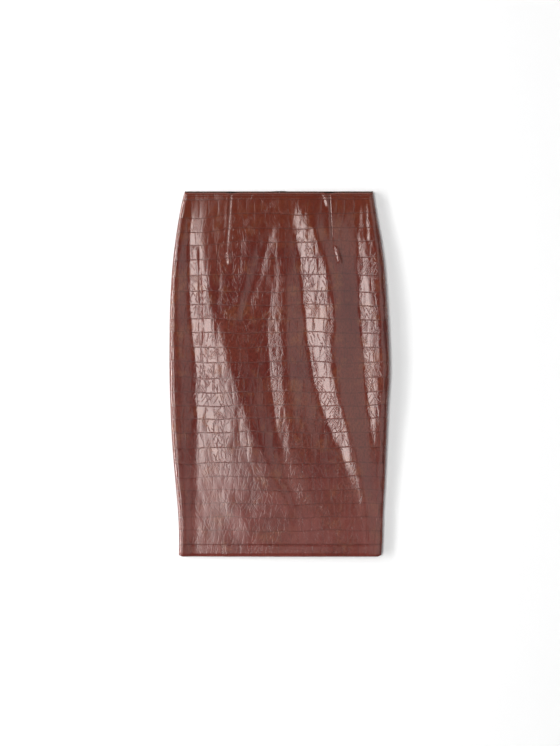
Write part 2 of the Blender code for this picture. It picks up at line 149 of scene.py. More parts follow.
# uneven swell of the cloth
sway = {
    "nets": [(13.0, 46.0, 0.95, 0.21), (6.5, 17.0, 0.38, 0.77)],    # width, length, height, seed
    "onLevel": 0.36,          # share of the swell where the cloth doesn't face left
    "facingFrom": 0.03,       # slope from which the cloth counts as facing left
    "facingOver": 0.24,
    "hemCalm": 0.55,          # how much calmer it gets towards the hem, from where, over what length
    "calmFrom": 430.0,
    "calmOver": 150.0,
}

darts = {
    "left": {"top": -96.0, "tip": -106.0, "down": 132.0, "depth": 0.46},
    "right": {"top": 100.0, "tip": 107.0, "down": 120.0, "depth": 0.66},
}
dartShape = {
    "halfWidth": 1.8,
    "swell": 0.16,            # a low bell beside the sewn line
    "swellWidth": 3.2,
    "swellAside": 5.0,
    "runOut": 0.35,           # share of the dart's length over which it runs out
}

# embossing: uneven rows across the skirt, each cut into scales of about the same width
scales = {
    "rowHeights": [16.6, 29, 29, 27, 31, 35, 34, 27, 28, 27, 29, 30, 31, 29,
                   27, 26, 27.4, 30.6, 31, 28, 26, 27, 27.4, 26.6, 27, 29],
    "width": 20.0,
    "rowDepth": 0.52,
    "rowHalf": 1.25,
    "cutDepth": 0.32,
    "cutHalf": 1.0,
    "crown": 0.05,
    "spread": 0.32,       # how much the rows differ in the width of their scales
    "jitter": 0.30,       # how far a cut strays from its even place, in scales
    "slant": 0.20,
    "bend": 0.018,
    "faintest": 0.35,     # the faintest cut's share of the full depth
}

# how the row lines stray down the skirt
rowWaves = {
    "leftDrop": 8.0,      # on the upper left
    "leftFrom": -50.0,
    "leftOver": 110.0,
    "dropFades": (100.0, 120.0),    # from where, over what length
    "longWave": 1.6,
    "shortWave": 0.8,
    "endFades": (12.0, 24.0, 20.0),  # straight this far from the waist and the hem; over what length
}

# fractions whose multiples spread evenly between 0 and 1
golden, silver, plastic = 0.618034, 0.414214, 0.7548777


def curve(down, stations, values):
    # cubic through the stations, with each station's slope from its neighbours
    s = np.asarray(stations, float)
    v = np.asarray(values, float)
    slope = np.gradient(v, s)
    down = np.clip(down, s[0], s[-1])
    k = np.clip(np.searchsorted(s, down, side="right") - 1, 0, len(s) - 2)
    span = s[k + 1] - s[k]
    t = (down - s[k]) / span
    blend = t * t * (3 - 2 * t)
    ends = slope[k] * t * (1 - t) ** 2 - slope[k + 1] * t * t * (1 - t)
    return v[k] + (v[k + 1] - v[k]) * blend + span * ends


def soft(t):
    # 0 below 0, 1 above 1, with a soft start and end: 3t^2 - 2t^3 between
    t = np.clip(t, 0, 1)
    return t * t * (3 - 2 * t)


def fract(a):
    return a - np.floor(a)


def mixOf(tile, row, shift):
    # a number from 0 to 1 for each scale, the same each run
    first = fract(tile * golden + row * silver + shift)
    return fract((first + 0.31) * (23.7 + 3.3 * fract(row * plastic)))


def edgeLeft(down):
    return -curve(down, outline["down"], outline["left"])


def edgeRight(down):
    return curve(down, outline["down"], outline["right"])


def roll(name, down):
    return curve(down, sideRolls["down"], sideRolls[name])


def dartLine(dart, down):
    # x of the sewn line, straight to its tip; below it, a line that keeps its share of the width
    sewn = dart["top"] + (dart["tip"] - dart["top"]) * np.minimum(down, dart["down"]) / dart["down"]
    return sewn * np.where(down > dart["down"], edgeRight(down) / edgeRight(dart["down"]), 1)


def sharpFolds(x, down):
    # height between fold lines: 1 - (1 - t)^p up a flank that faces left, an even S down one that faces right
    places = [edgeLeft(down) + roll("leftWidth", down)]
    heights = [roll("leftHeight", down)]
    for name in list(folds)[1:]:
        places.append(curve(down, folds["down"], folds[name][0]))
        heights.append(curve(down, folds["down"], folds[name][1]))
    places.append(edgeRight(down) - roll("rightWidth", down))
    heights.append(roll("rightHeight", down))
    z = np.where(x < places[0], heights[0], heights[-1])
    for k in range(len(places) - 1):
        t = np.clip((x - places[k]) / (places[k + 1] - places[k]), 0, 1)
        up = t if k % 2 else 1 - t
        rise = 1 - (1 - up) ** skirt["leftFlank"] if k % 2 else 0.5 * (up + soft(up))
        low, high = (heights[k], heights[k + 1]) if k % 2 else (heights[k + 1], heights[k])
        z = np.where((x >= places[k]) & (x <= places[k + 1]), low + (high - low) * rise, z)
    return z


def foldHeight(x, down):
    # the folds rounded off: a mean over five places across, weighted 1, 2, 3, 2, 1
    step = skirt["foldRound"] / 2
    return sum((3 - abs(k)) * sharpFolds(x + k * step, down) for k in range(-2, 3)) / 9


def creaseHeight(x, down, rows):
    # each crease is a bell across its line, fading out towards both ends
    z = np.zeros_like(x)
    for x0, d0, x1, d1, half, height in rows:
        length = math.hypot(x1 - x0, d1 - d0)
        ax, ad = (x1 - x0) / length, (d1 - d0) / length
        along = ((x - x0) * ax + (down - d0) * ad) / length
        across = (x - x0) * ad - (down - d0) * ax
        z += height * np.exp(-(across / half) ** 2) * soft(along * 4) * soft((1 - along) * 4)
    return z


def dartHeight(x, down):
    # a V along the sewn line that runs out at the tip, and a low bell beside it
    z = np.zeros_like(x)
    for dart in darts.values():
        off = x - dartLine(dart, down)
        runsOut = soft((dart["down"] - down) / (dartShape["runOut"] * dart["down"]))
        bell = np.exp(-((off + dartShape["swellAside"]) / dartShape["swellWidth"]) ** 2)
        z -= dart["depth"] * runsOut * np.clip(1 - np.abs(off) / dartShape["halfWidth"], 0, 1)
        z += dartShape["swell"] * runsOut * bell
    return z


def swayHeight(x, down):
    # smooth noise between numbers on an uneven net, drawn out down the cloth
    h = np.zeros_like(x)
    calm = 1 - sway["hemCalm"] * soft((down - sway["calmFrom"]) / sway["calmOver"])
    for width, length, height, shift in sway["nets"]:
        a, b = x / width + 0.31 * np.sin(down / 37), down / length + 0.2 * np.sin(x / 41)
        i, j = np.floor(a), np.floor(b)
        s, t = soft(a - i), soft(b - j)
        top = mixOf(i, j, shift) * (1 - s) + mixOf(i + 1, j, shift) * s
        low = mixOf(i, j + 1, shift) * (1 - s) + mixOf(i + 1, j + 1, shift) * s
        h += height * calm * (top * (1 - t) + low * t - 0.5)
    return h


def facingLeft(x, down):
    # 1 where the fold rises steeply to the right, soft down to 0 on level cloth
    rise = foldHeight(x + 2, down) - foldHeight(x - 2, down)
    return soft((rise - sway["facingFrom"]) / sway["facingOver"])


def stitchDip(down, line):
    # a furrow under a row of stitching
    return skirt["furrowDepth"] * np.exp(-((down - line) / skirt["furrowHalf"]) ** 2)


rowLines = np.cumsum([0.0] + scales["rowHeights"])


def rowWave(u, level):
    # how far a row line strays down at u: lower on the upper left, with small waves, none at the ends
    w = rowWaves
    fadeFrom, fadeOver = w["dropFades"]
    top, bottom, over = w["endFades"]
    left = w["leftDrop"] * soft((w["leftFrom"] - u) / w["leftOver"])
    left = left * (1 - soft((level - fadeFrom) / fadeOver))
    waves = w["longWave"] * np.sin(u / 39 + level / 83) + w["shortWave"] * np.sin(u / 15 - level / 47)
    ends = soft((level - top) / over) * soft((rowLines[-1] - bottom - level) / over)
    return (left + waves) * ends


def rowsAt(level):
    # scale rows counted from the waist
    return np.interp(level, rowLines, np.arange(len(rowLines)))


def cutsNear(u, r):
    # u over the row's own scale width, moved on from row to row; each cut strays and slants by itself
    row, fr = np.floor(r), fract(r)
    width = scales["width"] * (1 + scales["spread"] * (fract(row * plastic + 0.3) - 0.5))
    c = u / width + 5 * fract(row * golden) + 0.2 * np.sin(u / 23 + 2 * row)
    near = np.floor(c + 0.5)
    cut = near + scales["jitter"] * (mixOf(near, row, 0.1) - 0.5)
    cut += scales["slant"] * (mixOf(near, row, 0.6) - 0.5) * (fr - 0.5) * 2
    cut += scales["bend"] * np.sin(2 * math.pi * (fr + mixOf(near, row, 0.35)))
    tile = near - (c < cut)
    return (c - cut) * width, near, mixOf(tile, row, 0.83), width


def awayFromRowLines(r):
    # 0 on a row line, 1 from a quarter of the row's height on
    return soft(4 * (0.5 - np.abs(fract(r) - 0.5)))


def towardsCuts(offCut, width, share):
    # how far a column moves towards its nearest cut: a sine over the scale, none at the cut and halfway
    return share * width / (2 * math.pi) * np.sin(2 * math.pi * np.clip(offCut / width, -0.5, 0.5))


def emboss(u, r, rowHeight):
    # relief below the scales' tops, the grooves' mask and each scale's own number
    offCut, near, tileMix, width = cutsNear(u, r)
    row, fr = np.floor(r), fract(r)
    rowGap = (0.5 - np.abs(fr - 0.5)) * rowHeight
    rowCut = soft(1 - rowGap / scales["rowHalf"])
    strength = scales["faintest"] + (1 - scales["faintest"]) * mixOf(near, row, 0.47)
    tileCut = soft(1 - np.abs(offCut) / scales["cutHalf"]) * strength
    dome = (1 - (2 * fr - 1) ** 4) * soft(np.abs(offCut) / (0.3 * width))
    cutIn = np.maximum(rowCut * scales["rowDepth"], tileCut * scales["cutDepth"])
    return scales["crown"] * (dome - 1) - cutIn, np.maximum(rowCut, tileCut), tileMix


def rowHeightAt(level):
    # the height of the scale row that each level lies in, blended between the rows' middles
    return np.interp(level, rowLines[:-1] + 0.5 * np.diff(rowLines), np.diff(rowLines))


meshRows = {
    "usualRow": 28.0,     # scale row that gets the stated number of mesh rows
    "gather": 0.72,       # how strongly they gather at the row lines
    "bySewing": [-1.6, -0.9, -0.3, 0.3, 0.9, 1.6],
    "closest": 0.28,
}


def levelRows(top, bottom, steps, lines):
    # mesh rows: close together at each row line and each stitch line, wider between them
    rows = [np.array([top, bottom])]
    for start, height in zip(rowLines[:-1], scales["rowHeights"]):
        count = max(3, round(steps * height / meshRows["usualRow"]))
        t = np.linspace(0, 1, count + 1)
        gather = meshRows["gather"] * np.sin(2 * math.pi * t) / (2 * math.pi)
        rows.append(start + height * (t - gather))
    for line in lines:
        rows.append(line + np.array(meshRows["bySewing"]))
    level = np.unique(np.concatenate(rows))
    level = level[(level >= top) & (level <= bottom)]
    return level[np.append(True, np.diff(level) > meshRows["closest"])]


def fillTo(values, remainder):
    # halves the widest gaps until the count leaves this remainder over four
    while len(values) % 4 != remainder:
        k = int(np.argmax(np.diff(values)))
        values = np.insert(values, k + 1, (values[k] + values[k + 1]) / 2)
    return values


def surfaceNormals(p):
    # cross product of the grid's two directions, pointing out of the cloth
    n = np.cross(np.gradient(p, axis=0), np.gradient(p, axis=1))
    return n / np.linalg.norm(n, axis=2, keepdims=True)


def meshPiece(name, points, faces, materials, uv=None, values=None, slots=None):
    # points in millimetres; faces is a list of index arrays, each (count, corners)
    mesh = bpy.data.meshes.new(name)
    mesh.vertices.add(len(points))
    mesh.vertices.foreach_set("co", (np.asarray(points, np.float64) * mm).ravel())
    corners = np.concatenate([f.ravel() for f in faces]).astype(np.int32)
    sizes = np.concatenate([np.full(len(f), f.shape[1], np.int32) for f in faces])
    mesh.loops.add(len(corners))
    mesh.loops.foreach_set("vertex_index", corners)
    mesh.polygons.add(len(sizes))
    mesh.polygons.foreach_set("loop_start", np.concatenate([[0], np.cumsum(sizes)[:-1]]).astype(np.int32))
    mesh.polygons.foreach_set("loop_total", sizes)
    if uv is not None:
        layer = mesh.uv_layers.new(name="cut")
        layer.data.foreach_set("uv", (np.asarray(uv)[corners] * mm).ravel().astype(np.float32))
    for label, data in (values or {}).items():
        mesh.attributes.new(label, "FLOAT", "POINT").data.foreach_set("value", data.astype(np.float32))
    for material in materials:
        mesh.materials.append(material)
    if slots is not None:
        mesh.polygons.foreach_set("material_index", slots.astype(np.int32))
    mesh.update(calc_edges=True)
    mesh.shade_smooth()
    piece = bpy.data.objects.new(name, mesh)
    bpy.context.collection.objects.link(piece)
    return piece


def gridFaces(rows, columns, start=0, flip=False):
    index = start + np.arange(rows * columns).reshape(rows, columns)
    faces = np.stack([index[:-1, :-1], index[1:, :-1], index[1:, 1:], index[:-1, 1:]], axis=-1)
    faces = faces.reshape(-1, 4)
    return faces[:, ::-1] if flip else faces


def ring(rows, columns, start):
    # vertex numbers once round a grid's border
    index = start + np.arange(rows * columns).reshape(rows, columns)
    return np.concatenate([index[0, :-1], index[:-1, -1], index[-1, :0:-1], index[:0:-1, 0]])


def shell(name, outer, inner, cut, values, materials, flip=False):
    # a fine outer grid and an inner grid four times as coarse, closed by a rim of fans
    ro, co = outer.shape[:2]
    ri, ci = inner.shape[:2]
    start = ro * co
    fine = np.append(ring(ro, co, 0), 0)
    coarse = np.append(ring(ri, ci, start), start)
    a = [fine[k:len(fine) - 4 + k:4] for k in range(5)]
    b, c = coarse[:-1], coarse[1:]
    rim = [np.stack(t, axis=1) for t in ((a[0], a[1], b), (a[1], a[2], b), (a[2], c, b),
                                         (a[2], a[3], c), (a[3], a[4], c))]
    faces = [gridFaces(ro, co), gridFaces(ri, ci, start, flip=True)] + rim
    slots = np.concatenate([np.full(len(f), int(k == 1)) for k, f in enumerate(faces)])
    if flip:
        faces = [f[:, ::-1] for f in faces]
    points = np.concatenate([outer.reshape(-1, 3), inner.reshape(-1, 3)])
    uv = np.concatenate([cut.reshape(-1, 2), cut[::4, ::4].reshape(-1, 2)])
    values = {k: np.concatenate([v.ravel(), v[::4, ::4].ravel()]) for k, v in values.items()}
    return meshPiece(name, points, faces, materials, uv, values, slots)


def place(x, down, z):
    return np.stack([x, skirt["length"] / 2 - down, z], axis=-1)


def capped(level, capCount):
    # the level rows with a half round at each end: distances down, and the turn of each end row
    turn = np.radians(np.linspace(160, 40, capCount))
    rows = np.concatenate([np.full(capCount, level[0]), level, np.full(capCount, level[-1])])
    up = np.concatenate([turn, np.zeros(len(level) + capCount)])
    return rows, up, up[::-1]


def roundEnds(outer, normal, capUp, capDown, halfWaist, halfHem):
    # a half round over each folded edge: out by sin, in by 1 - cos
    for turn, half, sign in ((capUp, halfWaist, 1), (capDown, halfHem, -1)):
        t = turn[:, None]
        outer[..., 1] += sign * half * np.sin(t)
        outer = outer - normal * (half * (1 - np.cos(t)))[..., None]
    return outer


def steadyEnds(normal, capCount):
    # the end rows take the normals of the first row past them
    normal[:capCount + 1] = normal[capCount + 2]
    normal[-capCount - 1:] = normal[-capCount - 3]
    return normal


def waistDips(points, x, down):
    # a bell at each dart, run out a little below the edge
    runsOut = 1 - soft((down - skirt["frontDrop"]) / skirt["waistDipReach"])
    for dart in darts.values():
        bell = np.exp(-((x - dart["top"]) / skirt["waistDipHalf"]) ** 2)
        points[..., 1] -= skirt["waistDip"] * bell * runsOut
    return points


def hemCorners(points, x, down):
    # the hem's corners round off towards the seams
    fromSide = np.minimum(x - edgeLeft(down), edgeRight(down) - x)
    nearHem = np.clip(1 - (skirt["length"] - down) / skirt["cornerReach"], 0, 1)
    points[..., 1] += skirt["cornerRise"] * soft(1 - fromSide / skirt["cornerWidth"]) * nearHem
    return points


def runAlong(points):
    # length along each row of the cloth, from the centre line
    step = np.linalg.norm(np.diff(points, axis=1), axis=2)
    run = np.concatenate([np.zeros((len(points), 1)), np.cumsum(step, axis=1)], axis=1)
    middle = np.array([np.interp(0, points[i, :, 0], run[i]) for i in range(len(points))])
    return run - middle[:, None]


def wallDepth(down, top):
    # one layer of cloth, and two where an edge is turned in
    blend = skirt["turnBlend"]
    waist = (skirt["waistWall"] - skirt["wall"]) * (1 - soft((down - top - skirt["waistTurn"]) / blend))
    hem = (skirt["hemWall"] - skirt["wall"]) * soft((down - skirt["length"] + skirt["hemTurn"]) / blend + 1)
    return skirt["wall"] + np.maximum(waist, hem)


frontCut = {
    "steps": 13,          # mesh rows to an average scale row
    "columns": 253,
    "rollLeft": 10,
    "rollRight": 12,
    "leftShare": 0.06,    # share of the columns' span that the left roll takes
    "rightShare": 0.08,
    "caps": 4,
    "cutPull": 0.5,       # how strongly columns gather at the cuts, and over what share none do
    "sideShare": 0.08,
    "dartPull": 0.6,      # and at the darts, within this distance
    "dartReach": 8.0,
    "dartClear": 9.0,     # cuts gather no columns this near a dart
    "lipShare": 0.004,    # the seam edge: share of the columns' span, how far it drops and turns in
    "lipDrop": 0.5,
    "lipIn": 0.55,
    "rimIn": 1.0,         # the inner face ends this far from the seam edge
}

# where the relief and creases run deepest, and where the creases get painted shade: most on the flanks that
# face the key light on the left
keySideRelief = {
    "least": 0.25,
    "from": 0.05,         # slope to the left from which it grows, and over what
    "over": 0.07,
    "sideShare": 0.02,    # the relief runs out over this share of the span at the sides
    "hemLoss": 0.5,       # how much shallower it gets towards the hem, from where, over what length
    "hemFrom": 540.0,
    "hemOver": 90.0,
    "back": 0.5,
}


def seamLip(share):
    # 1 at the outermost columns, 0 at all others
    return np.clip(1 - np.minimum(share, 1 - share) / frontCut["lipShare"], 0, 1)


def frontSheetAt(x, down, share):
    # height of the front: folds between two rolls, each a quarter round down to its seam
    foot = skirt["seamHeight"] + skirt["seamGap"] / 2 + frontCut["lipDrop"]
    turnLeft = np.clip(share / frontCut["leftShare"], 0, 1) * math.pi / 2
    turnRight = np.clip((1 - share) / frontCut["rightShare"], 0, 1) * math.pi / 2
    arch = np.sin(turnLeft) * np.sin(turnRight)
    z = foldHeight(x, down) + creaseHeight(x, down, creases) + dartHeight(x, down)
    z += swayHeight(x, down) * (sway["onLevel"] + (1 - sway["onLevel"]) * facingLeft(x, down))
    z -= skirt["waistRoll"] * (1 - soft((down - skirt["frontDrop"]) / skirt["waistRollReach"]))
    z -= skirt["hemRoll"] * soft(1 - (skirt["length"] - down) / skirt["hemRollReach"])
    z -= stitchDip(down, skirt["frontDrop"] + skirt["waistTurn"])
    z -= stitchDip(down, skirt["length"] - skirt["hemTurn"])
    z = foot + (z - foot) * arch
    return z - frontCut["lipDrop"] * seamLip(share)


def frontAcross(down, share):
    # x of each column: quarter rounds at the sides, even between them, closer at the darts
    left, right = edgeLeft(down), edgeRight(down)
    wl, wr = roll("leftWidth", down), roll("rightWidth", down)
    a, b = frontCut["leftShare"], 1 - frontCut["rightShare"]
    x = left + wl + (right - wr - left - wl) * np.clip((share - a) / (b - a), 0, 1)
    for dart in darts.values():
        off = x - dartLine(dart, down)
        x = x - frontCut["dartPull"] * off * np.exp(-(off / frontCut["dartReach"]) ** 2)
    turnLeft = np.clip(share / a, 0, 1) * math.pi / 2
    turnRight = np.clip((1 - share) / (1 - b), 0, 1) * math.pi / 2
    x = np.where(share < a, left + wl * (1 - np.cos(turnLeft)), x)
    x = np.where(share > b, right - wr * (1 - np.cos(turnRight)), x)
    return x + frontCut["lipIn"] * np.where(share < 0.5, 1, -1) * seamLip(share)


def frontPanel(materials):
    # rows follow the embossed row lines, columns gather at the cuts; relief goes along the normals
    cut = frontCut
    halfWaist, halfHem = skirt["waistWall"] / 2, skirt["hemWall"] / 2
    stitchLines = [skirt["frontDrop"] + skirt["waistTurn"], skirt["length"] - skirt["hemTurn"]]
    level = levelRows(skirt["frontDrop"] + halfWaist, skirt["length"] - halfHem, cut["steps"], stitchLines)
    level = fillTo(level, (1 - 2 * cut["caps"]) % 4)
    rows, capUp, capDown = capped(level, cut["caps"])
    a, b = cut["leftShare"], 1 - cut["rightShare"]
    share = np.concatenate([np.linspace(0, a, cut["rollLeft"], endpoint=False),
                            np.linspace(a, b, cut["columns"] - cut["rollLeft"] - cut["rollRight"]),
                            1 - np.linspace(0, 1 - b, cut["rollRight"], endpoint=False)[::-1]])
    flatLevel = np.broadcast_to(rows[:, None], (len(rows), len(share)))
    x = frontAcross(flatLevel, share)
    down = flatLevel + rowWave(x, flatLevel)
    x = frontAcross(down, share)
    z = frontSheetAt(x, down, share)
    u = runAlong(place(x, down, z))
    r = rowsAt(flatLevel)
    offCut, _, _, width = cutsNear(u, r)
    inside = soft(np.minimum(share, 1 - share) / cut["sideShare"]) * awayFromRowLines(r)
    pull = towardsCuts(offCut, width, cut["cutPull"]) * inside
    for dart in darts.values():
        pull = pull * (1 - np.exp(-((x - dartLine(dart, down)) / cut["dartClear"]) ** 4))
    x = x - pull
    z = frontSheetAt(x, down, share)
    base = waistDips(hemCorners(place(x, down, z), x, down), x, down)
    normal = steadyEnds(surfaceNormals(base), cut["caps"])
    u = u - pull
    relief, groove, tileMix = emboss(u, r, rowHeightAt(flatLevel))
    # faces the key light on the left: deepens the relief here, and masks the creases' painted shade in the
    # material
    wearAndKeySide = keySideRelief["least"] + (1 - keySideRelief["least"]) * soft((-normal[..., 0] - keySideRelief["from"]) / keySideRelief["over"])
    fade = soft(np.minimum(share, 1 - share) / keySideRelief["sideShare"])
    fade = fade * (keySideRelief["least"] + (1 - keySideRelief["least"]) * wearAndKeySide)
    fade = fade * (1 - keySideRelief["hemLoss"] * soft((down - keySideRelief["hemFrom"]) / keySideRelief["hemOver"]))
    outer = base + normal * (relief * fade)[..., None]
    outer = roundEnds(outer, normal, capUp, capDown, halfWaist, halfHem)
    inner = (base - normal * wallDepth(down, skirt["frontDrop"])[..., None])[::4, ::4]
    foot = skirt["seamHeight"] + skirt["seamGap"] / 2
    inner[:, 0] = base[::4, 0] + [cut["rimIn"], 0, 0]
    inner[:, -1] = base[::4, -1] - [cut["rimIn"], 0, 0]
    inner[:, [0, -1], 2] = foot
    inner[0, :, 1] += halfWaist * skirt["edgeTuck"]
    inner[-1, :, 1] -= halfHem * skirt["edgeTuck"]
    values = {"wearAndKeySide": wearAndKeySide, "groove": groove, "scaleMix": tileMix}
    sewn = [outer[np.argmin(np.abs(rows - line))] for line in stitchLines]
    return shell("frontCloth", outer, inner, np.stack([u, down], axis=-1), values, materials), sewn


backCut = {
    "steps": 11,
    "columns": 89,
    "curlColumns": 8,
    "waveSpan": 200.0,    # row lines stray as at this run along the cloth, at the side
    "caps": 4,
    "curl": 7.0,
    "cutPull": 0.5,
    "hemLift": 1.0,       # the back's hem lies this far above the front's
    "zipLength": 200.0,
    "zipHalfGap": 0.8,
    "zipCloses": (1.5, 5.0, 12.0),   # shut to this depth, then opening over 5 mm; closing over 12 mm
    "slitLength": 180.0,
    "slitHalfGap": 1.5,
    "creaseClear": (8.0, 10.0, 14.0),  # creases keep this far from the centre and the side; run-out
    "cutsClear": (6.0, 12.0, 12.0),
    "scalesFrom": (500.0, 40.0),       # start of the scales' own numbers, away from the front's
    "furrowShare": 0.4,
    "edgeColumns": 3,     # relief runs out over this many columns at the edges
    "lipIn": 0.55,
    "lipUp": 0.5,
    "rimIn": 1.0,
    "hollowHeight": 2.3,
    "hollowHalf": 4.6,
    "hollowReach": 20.0,
    "hollowDown": (2.0, 9.0, 36.0, 54.0),
}


def hollow(x, down):
    # how far the laid back is lifted over the pull tab
    cut = backCut
    across = 1 - soft((np.abs(x) - cut["hollowHalf"]) / (cut["hollowReach"] - cut["hollowHalf"]))
    a, b, c, e = cut["hollowDown"]
    return cut["hollowHeight"] * across * soft((down - a) / (b - a)) * (1 - soft((down - c) / (e - c)))


def centreGap(down):
    # half the distance between the back panels' edges
    cut = backCut
    half = skirt["seamGap"] / 2
    shut, opens, closes = cut["zipCloses"]
    zipPart = soft((cut["zipLength"] + closes - down) / closes) * soft((down - shut) / opens)
    slit = np.clip((down - skirt["length"] + cut["slitLength"]) / cut["slitLength"], 0, 1)
    return half + (cut["zipHalfGap"] - half) * zipPart + (cut["slitHalfGap"] - half) * slit


def fromEdges(across, edge, clear):
    # 0 near the centre and near the side edge, 1 between them
    centre, outside, over = clear
    return soft((across - centre) / over) * soft((edge - across - outside) / over)


def backPanel(side, materials):
    # level on the table, curling up in a quarter round to the side seam; relief only goes inwards
    cut = backCut
    halfWaist, halfHem = skirt["waistWall"] / 2, skirt["hemWall"] / 2
    bottom = skirt["length"] - cut["hemLift"] - halfHem
    stitchLines = [skirt["waistTurn"], skirt["length"] - skirt["hemTurn"]]
    level = fillTo(levelRows(halfWaist, bottom, cut["steps"], stitchLines), (1 - 2 * cut["caps"]) % 4)
    rows, capUp, capDown = capped(level, cut["caps"])
    split = cut["columns"] - cut["curlColumns"]
    even = np.linspace(0, 1, split)
    flatLevel = np.broadcast_to(rows[:, None], (len(rows), cut["columns"]))
    down = flatLevel + rowWave(side * cut["waveSpan"] * np.linspace(0, 1, cut["columns"]), flatLevel)
    edge = -edgeLeft(down) if side < 0 else edgeRight(down)
    near = centreGap(down)
    turn = np.linspace(math.pi / 2, 0, cut["curlColumns"] + 1)[1:]
    across = np.empty_like(down)
    across[:, :split] = near[:, :split] + (edge - cut["curl"] - near)[:, :split] * even
    across[:, split:] = edge[:, split:] - cut["curl"] * (1 - np.cos(turn))
    r = rowsAt(flatLevel)
    start, aside = cut["scalesFrom"]
    u = side * (across + aside) + start
    offCut, _, _, width = cutsNear(u, r)
    inside = fromEdges(across, edge, cut["cutsClear"]) * awayFromRowLines(r)
    pull = towardsCuts(offCut, width, cut["cutPull"]) * inside
    across = across - side * pull
    u = u - pull
    foot = skirt["seamHeight"] - skirt["seamGap"] / 2
    inside = fromEdges(across, edge, cut["creaseClear"])
    z = hollow(across, down) + creaseHeight(side * across, down, backCreases) * inside
    z[:, split:] += (foot - cut["lipUp"]) * (1 - np.sin(turn))
    across[:, -1] -= cut["lipIn"]
    z[:, -1] += cut["lipUp"]
    base = hemCorners(place(side * across, down, z), side * across, down + cut["hemLift"])
    normal = steadyEnds(surfaceNormals(base) * (-side), cut["caps"])
    relief, groove, tileMix = emboss(u, r, rowHeightAt(flatLevel))
    count = np.arange(cut["columns"])
    fade = soft(np.minimum(count, cut["columns"] - 1 - count) / cut["edgeColumns"])
    furrows = stitchDip(down, stitchLines[0]) + stitchDip(down, stitchLines[1])
    relief = relief - cut["furrowShare"] * furrows
    outer = base + normal * (relief * fade)[..., None]
    outer = roundEnds(outer, normal, capUp, capDown, halfWaist, halfHem)
    inner = (base - normal * wallDepth(down, 0.0)[..., None])[::4, ::4]
    inner[0, :, 1] += halfWaist * skirt["edgeTuck"]
    inner[-1, :, 1] -= halfHem * skirt["edgeTuck"]
    inner[:, -1, 0] = base[::4, -1, 0] - side * cut["rimIn"]
    inner[:, -1, 2] = foot
    inner[:, 0, 0] = base[::4, 0, 0]
    values = {"wearAndKeySide": np.full_like(down, keySideRelief["back"]), "groove": groove, "scaleMix": tileMix}
    name = "backClothLeft" if side < 0 else "backClothRight"
    sewn = [outer[np.argmin(np.abs(rows - line))] for line in stitchLines]
    piece = shell(name, outer, inner, np.stack([u, down], axis=-1), values, materials, flip=side > 0)
    return piece, sewn


sewing = {
    "pitch": 3.3,
    "length": 2.8,
    "radius": 0.24,
    "endRadius": 0.6,     # share of the radius at a stitch's ends
    "rise": 0.12,         # height above the cloth, in the middle
    "dive": 0.144,        # depth below it, at the ends
    "ringPoints": 6,
    "rings": 5,
    "skipped": 3,         # mesh columns without a stitch at each end of a line
}


def stitches(name, lines, facing, material):
    # along each line of cloth, short threads that rise by an arch and dive in at both ends
    t = np.linspace(0, 1, sewing["rings"])
    around = np.linspace(0, 2 * math.pi, sewing["ringPoints"], endpoint=False)
    points = []
    for line in lines:
        line = line[sewing["skipped"]:-sewing["skipped"]]
        run = np.append(0, np.cumsum(np.linalg.norm(np.diff(line, axis=0), axis=1)))
        start = np.arange(0.5, run[-1] - sewing["pitch"], sewing["pitch"])
        at = start[:, None] + sewing["length"] * t
        centre = np.stack([np.interp(at, run, line[:, k]) for k in range(3)], axis=-1)
        along = np.gradient(centre, axis=1)
        along[..., 1] = 0
        along = along / np.linalg.norm(along, axis=2, keepdims=True) * np.sign(along[..., :1].sum())
        up = facing * np.stack([-along[..., 2], along[..., 1], along[..., 0]], axis=-1)
        arch = np.sin(math.pi * t)
        lift = (sewing["rise"] + sewing["dive"]) * arch - sewing["dive"]
        centre = centre + up * lift[None, :, None]
        thin = sewing["endRadius"]
        radius = sewing["radius"] * (thin + (1 - thin) * arch)[None, :, None, None]
        side = np.array([0.0, 1.0, 0.0])
        offset = np.cos(around)[:, None] * up[:, :, None, :] + np.sin(around)[:, None] * side
        points.append((centre[:, :, None, :] + radius * offset).reshape(-1, 3))
    points = np.concatenate(points)
    count, rings, ringPoints = len(points), sewing["rings"], sewing["ringPoints"]
    index = np.arange(count).reshape(-1, rings, ringPoints)
    a, b = index[:, :-1], index[:, 1:]
    walls = np.stack([a, b, np.roll(b, -1, axis=2), np.roll(a, -1, axis=2)], axis=-1).reshape(-1, 4)
    ends = np.concatenate([index[:, 0], index[:, -1, ::-1]])
    if facing < 0:
        walls, ends = walls[:, ::-1], ends[:, ::-1]
    return meshPiece(name, points, [walls, ends], [material])


zipCoil = {"from": 22.5, "to": 200.0, "pitch": 1.25, "long": 0.8, "half": 1.9, "height": 0.9, "above": 2.2}


def zipTeeth(material):
    # rounded bars across the gap between the tapes, each an arch: half width times cos, height times sin
    down = np.arange(zipCoil["from"], zipCoil["to"], zipCoil["pitch"])
    t = np.linspace(0, math.pi, 9)
    low = hollow(np.zeros_like(down), down) + zipCoil["above"]
    x = np.broadcast_to(zipCoil["half"] * np.cos(t), (len(down), len(t)))
    z = low[:, None] + zipCoil["height"] * np.sin(t)
    near, far = down - zipCoil["long"] / 2, down + zipCoil["long"] / 2
    rings = np.stack([place(x, np.broadcast_to(d[:, None], x.shape), z) for d in (near, far)], axis=1)
    count = len(t)
    index = np.arange(rings.size // 3).reshape(len(down), 2, count)
    a, b = index[:, 0], index[:, 1]
    walls = np.stack([a, b, np.roll(b, -1, axis=1), np.roll(a, -1, axis=1)], axis=-1).reshape(-1, 4)
    return meshPiece("zipTeeth", rings.reshape(-1, 3), [walls, a, b[:, ::-1]], [material])


